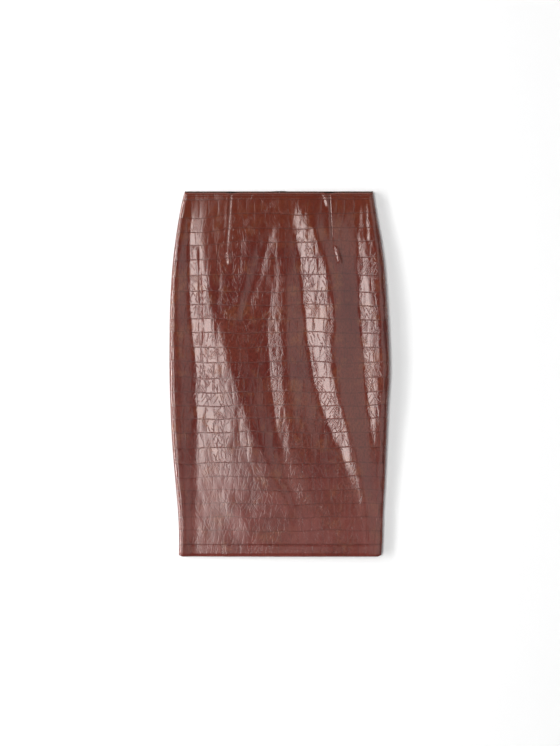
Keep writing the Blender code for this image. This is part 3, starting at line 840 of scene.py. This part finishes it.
class Wires:
    # short words for placing and joining nodes
    def __init__(self, tree):
        self.tree = tree

    def node(self, kind, **values):
        item = self.tree.nodes.new(kind)
        for key, value in values.items():
            setattr(item, key, value)
        return item

    def feed(self, socket, value):
        if isinstance(value, bpy.types.NodeSocket):
            self.tree.links.new(value, socket)
        else:
            socket.default_value = value

    def maths(self, operation, a, b=0.0, c=0.0):
        item = self.node("ShaderNodeMath", operation=operation)
        for socket, value in zip(item.inputs, (a, b, c)):
            self.feed(socket, value)
        return item.outputs[0]

    def ramp(self, value, low, high):
        item = self.node("ShaderNodeMapRange", interpolation_type="SMOOTHSTEP")
        self.feed(item.inputs["Value"], value)
        self.feed(item.inputs["From Min"], low)
        self.feed(item.inputs["From Max"], high)
        return item.outputs["Result"]

    def noise(self, vector, size, detail=3.0, rough=0.5):
        item = self.node("ShaderNodeTexNoise")
        self.feed(item.inputs["Vector"], vector)
        self.feed(item.inputs["Scale"], 1.0 / size)
        self.feed(item.inputs["Detail"], detail)
        self.feed(item.inputs["Roughness"], rough)
        return item.outputs[0]

    def mix(self, share, a, b):
        item = self.node("ShaderNodeMix", data_type="RGBA")
        self.feed(item.inputs[0], share)
        self.feed(item.inputs[6], a)
        self.feed(item.inputs[7], b)
        return item.outputs[2]

    def shift(self, vector, by):
        item = self.node("ShaderNodeVectorMath", operation="ADD")
        self.feed(item.inputs[0], vector)
        item.inputs[1].default_value = by
        return item.outputs[0]

    def vector(self, x, y, z=0.0):
        item = self.node("ShaderNodeCombineXYZ")
        for socket, value in zip(item.inputs, (x, y, z)):
            self.feed(socket, value)
        return item.outputs[0]

    def split(self, vector):
        item = self.node("ShaderNodeSeparateXYZ")
        self.feed(item.inputs[0], vector)
        return item.outputs

    def bump(self, height, distance):
        item = self.node("ShaderNodeBump")
        item.inputs["Distance"].default_value = distance
        self.feed(item.inputs["Height"], height)
        return item.outputs[0]


def newMaterial(name):
    material = bpy.data.materials.new(name)
    material.use_nodes = True
    return material, Wires(material.node_tree), material.node_tree.nodes["Principled BSDF"]


def newGroup(name, inputs, outputs):
    group = bpy.data.node_groups.new(name, "ShaderNodeTree")
    for label, kind, value in inputs:
        socket = group.interface.new_socket(label, in_out="INPUT", socket_type=kind)
        if value is not None:
            socket.default_value = value
    for label, kind in outputs:
        group.interface.new_socket(label, in_out="OUTPUT", socket_type=kind)
    return group, group.nodes.new("NodeGroupInput"), group.nodes.new("NodeGroupOutput")


# straight strokes: across per down, distance apart, length, half width, seed of their random numbers
strokes = {
    "right": (0.60, 8.5, 19.0, 1.35, 3.0),
    "left": (-0.50, 8.0, 18.0, 1.35, 11.0),
    "upright": (0.10, 10.0, 25.0, 1.2, 23.0),
}
strokeShape = {
    "aside": (0.35, 0.3),     # a stroke's place in its cell: least, and how much it varies
    "fade": (0.48, 0.30),     # shares of the length, from the middle, between which it fades
    "shown": (0.40, 0.62),    # its cell's random number between which it comes in
    "stray": 5.0,             # how far strokes bend aside, and over what distance
    "strayOver": 11.0,
}
hatching = {"lean": 0.75, "apart": 4.0, "thin": 0.30, "patch": 15.0, "shown": (0.45, 0.60)}
mottling = (3.0, 6.0)         # size of the mottling, across and down


def straightStrokes(w, u, v, kind):
    # one straight stroke to a cell of a leaning net: its place, tilt and whether it shows come from
    # random numbers of its cell, and it fades out towards both ends
    lean, apart, length, half, seed = strokes[kind]
    m = w.maths
    column = m("DIVIDE", m("MULTIPLY_ADD", v, lean, u), apart)
    number = m("FLOOR", column)
    start = m("FRACT", m("MULTIPLY", m("ADD", number, seed), golden))
    row = m("ADD", m("DIVIDE", v, length), start)
    cell = w.node("ShaderNodeTexWhiteNoise", noise_dimensions="3D")
    w.feed(cell.inputs["Vector"], w.vector(number, m("FLOOR", row), seed))
    aside, tilt, shows = w.split(cell.outputs["Color"])
    along = m("SUBTRACT", m("FRACT", row), 0.5)
    least, varies = strokeShape["aside"]
    centre = m("ADD", m("MULTIPLY_ADD", aside, varies, least),
               m("MULTIPLY", along, m("SUBTRACT", tilt, 0.5)))
    off = m("MULTIPLY", m("ABSOLUTE", m("SUBTRACT", m("FRACT", column), centre)), apart)
    line = m("MULTIPLY", w.ramp(off, half, 0.0), w.ramp(m("ABSOLUTE", along), *strokeShape["fade"]))
    return m("MULTIPLY", line, w.ramp(shows, *strokeShape["shown"]))


def creaseGroup():
    # fine creases inside the scales: straight strokes leaning three ways, and patches of slanting hatch
    group, source, sink = newGroup(
        "fineCreases",
        [("Cut", "NodeSocketVector", None), ("Scale Mix", "NodeSocketFloat", 0.5)],
        [("Creases", "NodeSocketFloat"), ("Hatch", "NodeSocketFloat"), ("Mottle", "NodeSocketFloat")])
    w = Wires(group)
    m = w.maths
    cutX, cutY, _ = w.split(source.outputs["Cut"])
    u = m("MULTIPLY", cutX, 1 / mm)
    v = m("MULTIPLY", cutY, 1 / mm)
    flat = w.vector(u, v)

    def someScales(turns, low, high):
        # a number of each scale's own, as a mask
        return w.ramp(m("FRACT", m("MULTIPLY", source.outputs["Scale Mix"], turns)), low, high)

    stray = m("SUBTRACT", w.noise(flat, strokeShape["strayOver"], 1.0), 0.5)
    bent = m("MULTIPLY_ADD", stray, strokeShape["stray"], u)
    right = m("MULTIPLY", straightStrokes(w, bent, v, "right"), someScales(5.3, 0.30, 0.45))
    left = m("MULTIPLY", straightStrokes(w, bent, v, "left"), someScales(7.9, 0.40, 0.55))
    upright = straightStrokes(w, bent, v, "upright")
    w.feed(sink.inputs["Creases"], m("MAXIMUM", m("MAXIMUM", right, left), upright))
    side = m("MULTIPLY_ADD", someScales(3.7, 0.45, 0.55), 2.0, -1.0)
    q = m("ADD", bent, m("MULTIPLY", v, m("MULTIPLY", side, hatching["lean"])))
    fromLine = m("ABSOLUTE", m("SUBTRACT", m("FRACT", m("DIVIDE", q, hatching["apart"])), 0.5))
    patch = w.ramp(w.noise(w.shift(flat, (60.0, 40.0, 0.0)), hatching["patch"], 2.0), *hatching["shown"])
    hatch = m("MULTIPLY", w.ramp(fromLine, hatching["thin"], 0.0), someScales(9.7, 0.55, 0.70))
    w.feed(sink.inputs["Hatch"], m("MULTIPLY", hatch, patch))
    across, down = mottling
    w.feed(sink.inputs["Mottle"],
           w.noise(w.vector(m("DIVIDE", u, across), m("DIVIDE", v, down)), 1.0, 1.0, 0.5))
    return group


gloss = {
    "deep": (0.114, 0.017, 0.012, 1),      # burgundy
    "warm": (0.144, 0.029, 0.018, 1),      # red-brown
    "tan": (0.195, 0.060, 0.024, 1),       # worn, warmer patches
    "paintedHemSheen": (0.160, 0.032, 0.025, 1),      # painted sheen towards the hem
    "brown": (0.120, 0.020, 0.006, 1),     # towards the waist
    # groove: painted shade for the grooves and creases, and also the dark that the mottling mixes in
    "groove": (0.035, 0.007, 0.005, 1),
    "cloudSize": 0.11,                     # of the change from deep to warm, in metres
    "patchSize": 0.030,
    "patchShare": 0.6,
    "scaleShare": 0.25,                    # how much single scales differ
    "mottleShare": 0.35,
    "hemFrom": (-0.15, -0.27),             # y between which the painted hem sheen comes in
    "waistFrom": (0.20, 0.33),
    "waistShare": 0.45,
    "calmFrom": (0.22, 0.34),              # and y between which the creases get fainter
    "calmShare": 0.55,
    # shares of painted shade: in the grooves, and in the creases
    "paintedGrooveShade": 0.5,
    "paintedCreaseShade": 0.28,
    "roughness": 0.15,
    "roughnessVaries": 0.06,
    "dullCreases": 0.3,
    "creaseHeight": 0.19 * mm,
    "creaseLeast": 0.15,                   # its share away from the flanks that face the key light
    "hatchHeight": 0.26 * mm,
    "mottleHeight": 0.04 * mm,
    "pebble": 0.18 * mm,
    "pebbleSize": 0.0065,
    "grain": 0.012 * mm,
    "grainSize": 0.0014,
    "specular": 0.92,
    "specularTint": (1.0, 0.92, 0.89, 1),
}


def glossColour(w, point, tileMix, crease):
    # patchy: clouds, worn patches, single scales, mottling, then a painted sheen towards the hem and the
    # waist's own shade
    m = w.maths
    clouds = w.ramp(w.noise(point, gloss["cloudSize"], 3.0), 0.36, 0.64)
    colour = w.mix(clouds, gloss["deep"], gloss["warm"])
    patches = w.ramp(w.noise(w.shift(point, (0.4, 0.2, 0.0)), gloss["patchSize"], 4.0, 0.6), 0.50, 0.70)
    colour = w.mix(m("MULTIPLY", patches, gloss["patchShare"]), colour, gloss["tan"])
    colour = w.mix(m("MULTIPLY", w.ramp(tileMix, 0.2, 1.0), gloss["scaleShare"]), colour, gloss["deep"])
    mottle = w.ramp(crease.outputs["Mottle"], 0.46, 0.62)
    colour = w.mix(m("MULTIPLY", mottle, gloss["mottleShare"]), colour, gloss["groove"])
    y = w.split(point)[1]
    # painted sheen: a rosy lightening towards the hem, broken into spots
    spots = w.ramp(w.noise(w.shift(point, (0.1, 0.7, 0.0)), 0.05, 3.0), 0.38, 0.60)
    byHem = m("MULTIPLY", w.ramp(y, *gloss["hemFrom"]), m("MULTIPLY_ADD", spots, 0.6, 0.15))
    colour = w.mix(byHem, colour, gloss["paintedHemSheen"])
    byWaist = m("MULTIPLY", w.ramp(y, *gloss["waistFrom"]), gloss["waistShare"])
    return w.mix(byWaist, colour, gloss["brown"])


def glossHeight(w, point, fine, wearAndKeySide, groove, crease):
    # pebble, mottling and grain, most on the flanks that face the key light; creases and hatch inside the
    # scales
    m = w.maths
    inScale = m("SUBTRACT", 1.0, groove)
    depth = m("MULTIPLY", crease.outputs["Creases"], -gloss["creaseHeight"])
    cracks = m("MULTIPLY", depth, m("MULTIPLY_ADD", wearAndKeySide, 1 - gloss["creaseLeast"], gloss["creaseLeast"]))
    byWaist = w.ramp(w.split(point)[1], *gloss["calmFrom"])
    cracks = m("MULTIPLY", cracks, m("MULTIPLY_ADD", byWaist, -gloss["calmShare"], 1.0))
    hatch = m("MULTIPLY", crease.outputs["Hatch"], wearAndKeySide)
    cracks = m("MULTIPLY_ADD", hatch, -gloss["hatchHeight"], cracks)
    height = m("MULTIPLY", w.noise(point, gloss["pebbleSize"], 2.0), gloss["pebble"])
    height = m("MULTIPLY_ADD", crease.outputs["Mottle"], gloss["mottleHeight"], height)
    height = m("MULTIPLY", m("MULTIPLY_ADD", fine, gloss["grain"], height), wearAndKeySide)
    return m("MULTIPLY_ADD", cracks, inScale, height)


def glossySheet(name, group):
    # lacquered embossed sheet: patchy colour, painted shade in the grooves and creases, bump from the fine
    # creases
    material, w, surface = newMaterial(name)
    m = w.maths
    links = material.node_tree.links
    point = w.node("ShaderNodeTexCoord").outputs["Object"]
    groove, tileMix, wearAndKeySide = [w.node("ShaderNodeAttribute", attribute_name=label).outputs["Fac"]
                             for label in ("groove", "scaleMix", "wearAndKeySide")]
    crease = w.node("ShaderNodeGroup", node_tree=group)
    w.feed(crease.inputs["Cut"], w.node("ShaderNodeUVMap", uv_map="cut").outputs[0])
    w.feed(crease.inputs["Scale Mix"], tileMix)
    lines = m("MAXIMUM", crease.outputs["Creases"], m("MULTIPLY", crease.outputs["Hatch"], 0.6))
    # painted shade: the base colour darkens in the grooves and, on the flanks facing the key light, in the
    # creases
    dark = m("MAXIMUM", m("MULTIPLY", groove, gloss["paintedGrooveShade"]),
             m("MULTIPLY", m("MULTIPLY", lines, wearAndKeySide), gloss["paintedCreaseShade"]))
    colour = glossColour(w, point, tileMix, crease)
    links.new(w.mix(dark, colour, gloss["groove"]), surface.inputs["Base Color"])
    fine = w.noise(point, gloss["grainSize"], 2.0, 0.6)
    varies = gloss["roughnessVaries"]
    rough = m("MULTIPLY_ADD", fine, varies, gloss["roughness"] - varies / 2)
    dull = m("MULTIPLY", m("MAXIMUM", groove, m("MULTIPLY", lines, 0.5)), wearAndKeySide)
    links.new(m("MULTIPLY_ADD", dull, gloss["dullCreases"], rough), surface.inputs["Roughness"])
    height = glossHeight(w, point, fine, wearAndKeySide, groove, crease)
    links.new(w.bump(height, 1.0), surface.inputs["Normal"])
    surface.inputs["Specular IOR Level"].default_value = gloss["specular"]
    surface.inputs["Specular Tint"].default_value = gloss["specularTint"]
    return material


# waves are in radians to the metre
knit = {
    "across": 7000.0,
    "down": 5000.0,
    "dark": (0.010, 0.007, 0.006, 1),
    "light": (0.028, 0.019, 0.016, 1),
    "roughness": 0.92,
    "specular": 0.2,
    "height": 0.12 * mm,
}


def knitBacking():
    # the sheet's reverse: a dark brushed knit
    material, w, surface = newMaterial("knitBacking")
    m = w.maths
    links = material.node_tree.links
    x, y, _ = w.split(w.node("ShaderNodeTexCoord").outputs["Object"])
    wales = m("SINE", m("MULTIPLY", x, knit["across"]))
    loops = m("MULTIPLY", wales, m("SINE", m("MULTIPLY_ADD", y, knit["down"], wales)))
    shade = m("MULTIPLY_ADD", loops, 0.5, 0.5)
    links.new(w.mix(shade, knit["dark"], knit["light"]), surface.inputs["Base Color"])
    surface.inputs["Roughness"].default_value = knit["roughness"]
    surface.inputs["Specular IOR Level"].default_value = knit["specular"]
    links.new(w.bump(shade, knit["height"]), surface.inputs["Normal"])
    return material


tapeWeave = {
    "across": 14000.0,
    "down": 9000.0,
    "dark": (0.03, 0.009, 0.007, 1),
    "light": (0.075, 0.024, 0.018, 1),
    "roughness": 0.9,
    "height": 0.15 * mm,
}


def wovenTape():
    # woven tape: fine ribs across its length
    material, w, surface = newMaterial("wovenTape")
    m = w.maths
    links = material.node_tree.links
    x, y, _ = w.split(w.node("ShaderNodeTexCoord").outputs["Object"])
    threads = m("ADD", m("SINE", m("MULTIPLY", y, tapeWeave["down"])),
                m("SINE", m("MULTIPLY", x, tapeWeave["across"])))
    weave = m("MULTIPLY_ADD", threads, 0.25, 0.5)
    links.new(w.mix(weave, tapeWeave["dark"], tapeWeave["light"]), surface.inputs["Base Color"])
    surface.inputs["Roughness"].default_value = tapeWeave["roughness"]
    links.new(w.bump(weave, tapeWeave["height"]), surface.inputs["Normal"])
    return material


threadTwist = {
    "ribs": 16000.0,
    "lean": 0.8,
    "dark": (0.022, 0.006, 0.004, 1),
    "light": (0.075, 0.018, 0.012, 1),
    "roughness": 0.6,
    "height": 0.06 * mm,
}


def spunThread():
    # twisted polyester: fine slanting ribs
    material, w, surface = newMaterial("spunThread")
    m = w.maths
    links = material.node_tree.links
    x, y, _ = w.split(w.node("ShaderNodeTexCoord").outputs["Object"])
    slanted = m("MULTIPLY_ADD", y, threadTwist["lean"], x)
    ribs = m("MULTIPLY_ADD", m("SINE", m("MULTIPLY", slanted, threadTwist["ribs"])), 0.5, 0.5)
    links.new(w.mix(ribs, threadTwist["dark"], threadTwist["light"]), surface.inputs["Base Color"])
    surface.inputs["Roughness"].default_value = threadTwist["roughness"]
    links.new(w.bump(ribs, threadTwist["height"]), surface.inputs["Normal"])
    return material


nylon = {
    "dark": (0.035, 0.011, 0.008, 1),
    "light": (0.07, 0.022, 0.015, 1),
    "size": 0.003,
    "roughness": 0.42,
}


def nylonCoil():
    # dark nylon, slightly uneven
    material, w, surface = newMaterial("nylonCoil")
    point = w.node("ShaderNodeTexCoord").outputs["Object"]
    tone = w.mix(w.noise(point, nylon["size"], 2.0), nylon["dark"], nylon["light"])
    material.node_tree.links.new(tone, surface.inputs["Base Color"])
    surface.inputs["Roughness"].default_value = nylon["roughness"]
    return material


lacquer = {
    "whole": (0.13, 0.045, 0.028, 1),
    "wearAndKeySide": (0.42, 0.26, 0.17, 1),
    "wearSize": 0.0022,
    "wearFrom": (0.55, 0.72),
    "metallic": 0.85,
    "roughness": 0.28,
    "wornRougher": 0.15,
    "castSize": 0.0006,
    "castHeight": 0.04 * mm,
}


def lacqueredMetal():
    # lacquered zinc, worn through in spots, with a fine cast grain
    material, w, surface = newMaterial("lacqueredMetal")
    links = material.node_tree.links
    point = w.node("ShaderNodeTexCoord").outputs["Object"]
    wearAndKeySide = w.ramp(w.noise(point, lacquer["wearSize"], 4.0, 0.6), *lacquer["wearFrom"])
    links.new(w.mix(wearAndKeySide, lacquer["whole"], lacquer["wearAndKeySide"]), surface.inputs["Base Color"])
    surface.inputs["Metallic"].default_value = lacquer["metallic"]
    rough = w.maths("MULTIPLY_ADD", wearAndKeySide, lacquer["wornRougher"], lacquer["roughness"])
    links.new(rough, surface.inputs["Roughness"])
    cast = w.noise(point, lacquer["castSize"], 2.0)
    links.new(w.bump(cast, lacquer["castHeight"]), surface.inputs["Normal"])
    return material


# in metres, like all that follows
table = {
    "dark": (0.965, 0.965, 0.965, 1),
    "light": (0.985, 0.985, 0.985, 1),
    "cloudSize": 0.4,
    "roughness": 0.95,
    "specular": 0.1,
    "innerRings": [0.001, 1.0, 2.5],
    "floorRadius": 4.0,
    "wallRadius": 5.2,
    "wallHeight": 1.6,
    "bendRings": 13,
    "sides": 96,
    "below": 0.0004,          # the table lies this far below the cloth
}

studio = {
    "world": 0.02,
    "cameraPlace": (0.0008, 0.0016, 3.0),
    "tableShown": 1.4914,     # length of table from the picture's top to its bottom
    "shownAt": 0.012,         # at this height
    "distance": 4.4,          # of the lights
    # the large light on the left: degrees from straight up, brightness
    "keyLength": 3.6,
    "keyStrips": [(7, 10, 1.0), (10, 13, 2.5), (13, 18, 4.7), (18, 25, 6.6), (25, 32, 5.2), (32, 58, 0.12)],
    # and a low one beyond it, which draws the shadow on the right
    "lowLength": 5.6,
    "lowStrips": [(58, 67, 5.4), (67, 74, 22.0)],
    "fillLength": 5.0,
    "fillStrips": [(9, 42, 0.78), (42, 66, 0.2)],
    "endLength": 3.0,
    "topStrips": [(44, 60, 0.9)],
    "hemStrips": [(44, 60, 0.5)],
    # two dim cards overhead that only level cloth by the hem mirrors: x, y, width, depth, brightness
    "cards": [(-0.57, -1.0, 1.05, 1.0, 0.4), (-0.40, -1.0, 1.6, 1.2, 0.7)],
}


def paleTable():
    material, w, surface = newMaterial("paleTable")
    point = w.node("ShaderNodeTexCoord").outputs["Object"]
    tone = w.mix(w.noise(point, table["cloudSize"], 2.0), table["dark"], table["light"])
    material.node_tree.links.new(tone, surface.inputs["Base Color"])
    surface.inputs["Roughness"].default_value = table["roughness"]
    surface.inputs["Specular IOR Level"].default_value = table["specular"]
    return material


def tableTop():
    # a turned profile: level, then a quarter round up into a low wall
    bend = np.linspace(0, math.pi / 2, table["bendRings"])
    rise = table["wallRadius"] - table["floorRadius"]
    radius = np.concatenate([table["innerRings"], table["floorRadius"] + rise * np.sin(bend),
                             [table["wallRadius"]]])
    height = np.concatenate([np.zeros(len(table["innerRings"])), rise * (1 - np.cos(bend)),
                             [table["wallHeight"]]])
    turn = np.linspace(0, 2 * math.pi, table["sides"] + 1)
    x = radius[:, None] * np.cos(turn)[None, :]
    y = radius[:, None] * np.sin(turn)[None, :]
    z = np.broadcast_to(height[:, None] - table["below"], x.shape)
    points = np.stack([x, y, z], axis=-1).reshape(-1, 3) / mm
    meshPiece("tableTop", points, [gridFaces(*x.shape)], [paleTable()])


def areaLight(name, place, turn, width, length, brightness):
    # energy is pi times brightness times area, so that every light of one brightness looks as bright
    light = bpy.data.lights.new(name, "AREA")
    light.shape = "RECTANGLE"
    light.size, light.size_y = width, length
    light.energy = brightness * math.pi * width * length
    holder = bpy.data.objects.new(name, light)
    holder.location = place
    holder.rotation_euler = turn
    holder.visible_camera = False
    bpy.context.collection.objects.link(holder)


def softLight(name, bearing, length, strips):
    # strips of one curved soft light, each square to the middle of the table; bearing in degrees from +x
    for number, (start, end, brightness) in enumerate(strips):
        lean = math.radians((start + end) / 2)
        width = 2 * studio["distance"] * math.tan(math.radians((end - start) / 2))
        out, turn = studio["distance"] * math.sin(lean), math.radians(bearing)
        place = (out * math.cos(turn), out * math.sin(turn), studio["distance"] * math.cos(lean))
        areaLight(f"{name}{number}", place, (0, lean, turn), width, length, brightness)


def cameraAndLights():
    scene = bpy.context.scene
    world = bpy.data.worlds.new("studio")
    world.use_nodes = True
    back = world.node_tree.nodes["Background"]
    back.inputs["Color"].default_value = (1, 1, 1, 1)
    back.inputs["Strength"].default_value = studio["world"]
    scene.world = world
    softLight("keyLight", 180, studio["keyLength"], studio["keyStrips"])
    softLight("lowLight", 180, studio["lowLength"], studio["lowStrips"])
    softLight("fillLight", 0, studio["fillLength"], studio["fillStrips"])
    softLight("topLight", 90, studio["endLength"], studio["topStrips"])
    softLight("hemLight", 270, studio["endLength"], studio["hemStrips"])
    for number, (x, y, width, depth, brightness) in enumerate(studio["cards"]):
        areaLight(f"card{number}", (x, y, studio["distance"]), (0, 0, 0), width, depth, brightness)
    camera = bpy.data.cameras.new("overhead")
    camera.lens = camera.sensor_width * (studio["cameraPlace"][2] - studio["shownAt"]) / studio["tableShown"]
    holder = bpy.data.objects.new("overhead", camera)
    holder.location = studio["cameraPlace"]
    bpy.context.collection.objects.link(holder)
    scene.camera = holder
    scene.view_settings.view_transform = "Standard"


fineCreases = creaseGroup()
backing = knitBacking()
sheets = [glossySheet("glossySheetFront", fineCreases), backing]
backSheets = [glossySheet("glossySheetBack", fineCreases), backing]
print("materials ready")

thread = spunThread()
front, sewn = frontPanel(sheets)
frontStitches = stitches("frontStitches", sewn, 1, thread)
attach(front, "skirt")
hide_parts("front_panel")
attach(frontStitches, "skirt")
print("front panel:", len(front.data.loop_triangles), "triangles")

for side, node in ((-1, "back_panel_left"), (1, "back_panel_right")):
    back, sewn = backPanel(side, backSheets)
    backStitches = stitches("backStitchesLeft" if side < 0 else "backStitchesRight", sewn, -1, thread)
    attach(back, "skirt")
    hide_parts(node)
    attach(backStitches, "skirt")
    print(back.name + ":", len(back.data.loop_triangles), "triangles")

teeth = zipTeeth(nylonCoil())
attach(teeth, "skirt")
tape, metal = wovenTape(), lacqueredMetal()
for node, material in (("zip_tape_left", tape), ("zip_tape_right", tape),
                       ("zip_slider", metal), ("zip_pull_tab", metal)):
    item = bpy.data.objects[node]
    item.data.materials.clear()
    item.data.materials.append(material)

tableTop()
cameraAndLights()
